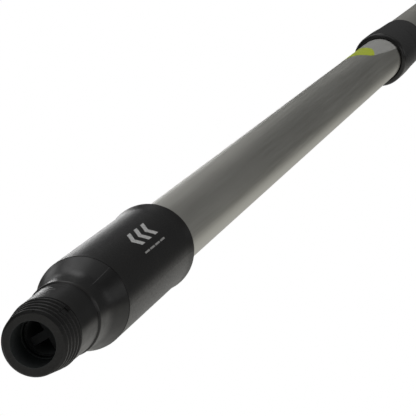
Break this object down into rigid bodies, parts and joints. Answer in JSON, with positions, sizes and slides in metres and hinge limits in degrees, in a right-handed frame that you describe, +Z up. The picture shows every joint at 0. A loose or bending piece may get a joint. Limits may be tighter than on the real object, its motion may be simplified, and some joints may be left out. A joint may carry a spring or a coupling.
{
  "type": "telescopic tool pole",
  "caption": "Telescopic pole with a hollow threaded tip, black tip sleeve, sliding aluminium tubes, twist lock collar, rubber hand grip and hose tail.",
  "frame": {"origin": "centre of the mouth of the hollow threaded tip", "axes": "+Y along the pole from the tip to the hose tail, +Z up with the pole lying level"},
  "size_m": [0.0384, 1.6266, 0.0384],
  "materials": {
    "black_plastic": "moulded satin black",
    "sleeve_plastic": "matt black with fine lengthwise marks",
    "dark_plastic": "moulded dark grey",
    "gloss_black": "glossy black",
    "anodised_tube": "satin anodised",
    "label_film": "printed film",
    "white_acetal": "moulded natural",
    "seal_rubber": "smooth",
    "grip_rubber": "matt",
    "steel_pins": "turned"
  },
  "bodies": {
    "outer_stage": {"outer_tube": "anodised_tube", "collar_body": "gloss_black", "collar_rivets": "steel_pins", "hand_grip": "grip_rubber", "end_plug": "black_plastic", "end_plug_o_rings": "seal_rubber", "end_plug_pins": "steel_pins", "hose_nipple": "dark_plastic", "nipple_o_ring": "seal_rubber", "nipple_washer": "seal_rubber"},
    "lock_carrier": {"clamp_collet": "white_acetal", "thrust_washer": "white_acetal"},
    "lock_collar": {"lock_nut": "gloss_black", "wiper_seal": "seal_rubber"},
    "guide": {"guide_bush": "white_acetal", "guide_seals": "seal_rubber"},
    "inner_stage": {"inner_tube": "anodised_tube", "threaded_nozzle": "black_plastic", "flow_baffle": "black_plastic", "nozzle_o_rings": "seal_rubber", "nozzle_lock_pins": "steel_pins", "tip_sleeve": "sleeve_plastic", "extension_label": "label_film", "guide_pins": "steel_pins"}
  },
  "joints": [
    {"name": "pole_slide", "type": "slide", "parent": "outer_stage", "child": "guide", "axis": [0, 1, 0], "range_m": [-0.0115, 0.575]},
    {"name": "inner_turn", "type": "hinge", "parent": "guide", "child": "inner_stage", "pos_m": [0, 0.908, 0], "axis": [0, 1, 0], "continuous": true},
    {"name": "lock_advance", "type": "slide", "parent": "outer_stage", "child": "lock_carrier", "axis": [0, -1, 0], "range_m": [0, 0.0009]},
    {"name": "lock_turn", "type": "hinge", "parent": "lock_carrier", "child": "lock_collar", "pos_m": [0, 0.78, 0], "axis": [0, -1, 0], "range_deg": [0, 120]}
  ],
  "couplings": [
    {"joint": "lock_advance", "follows": "lock_turn", "m_per_rad": 0.00039789}
  ]
}
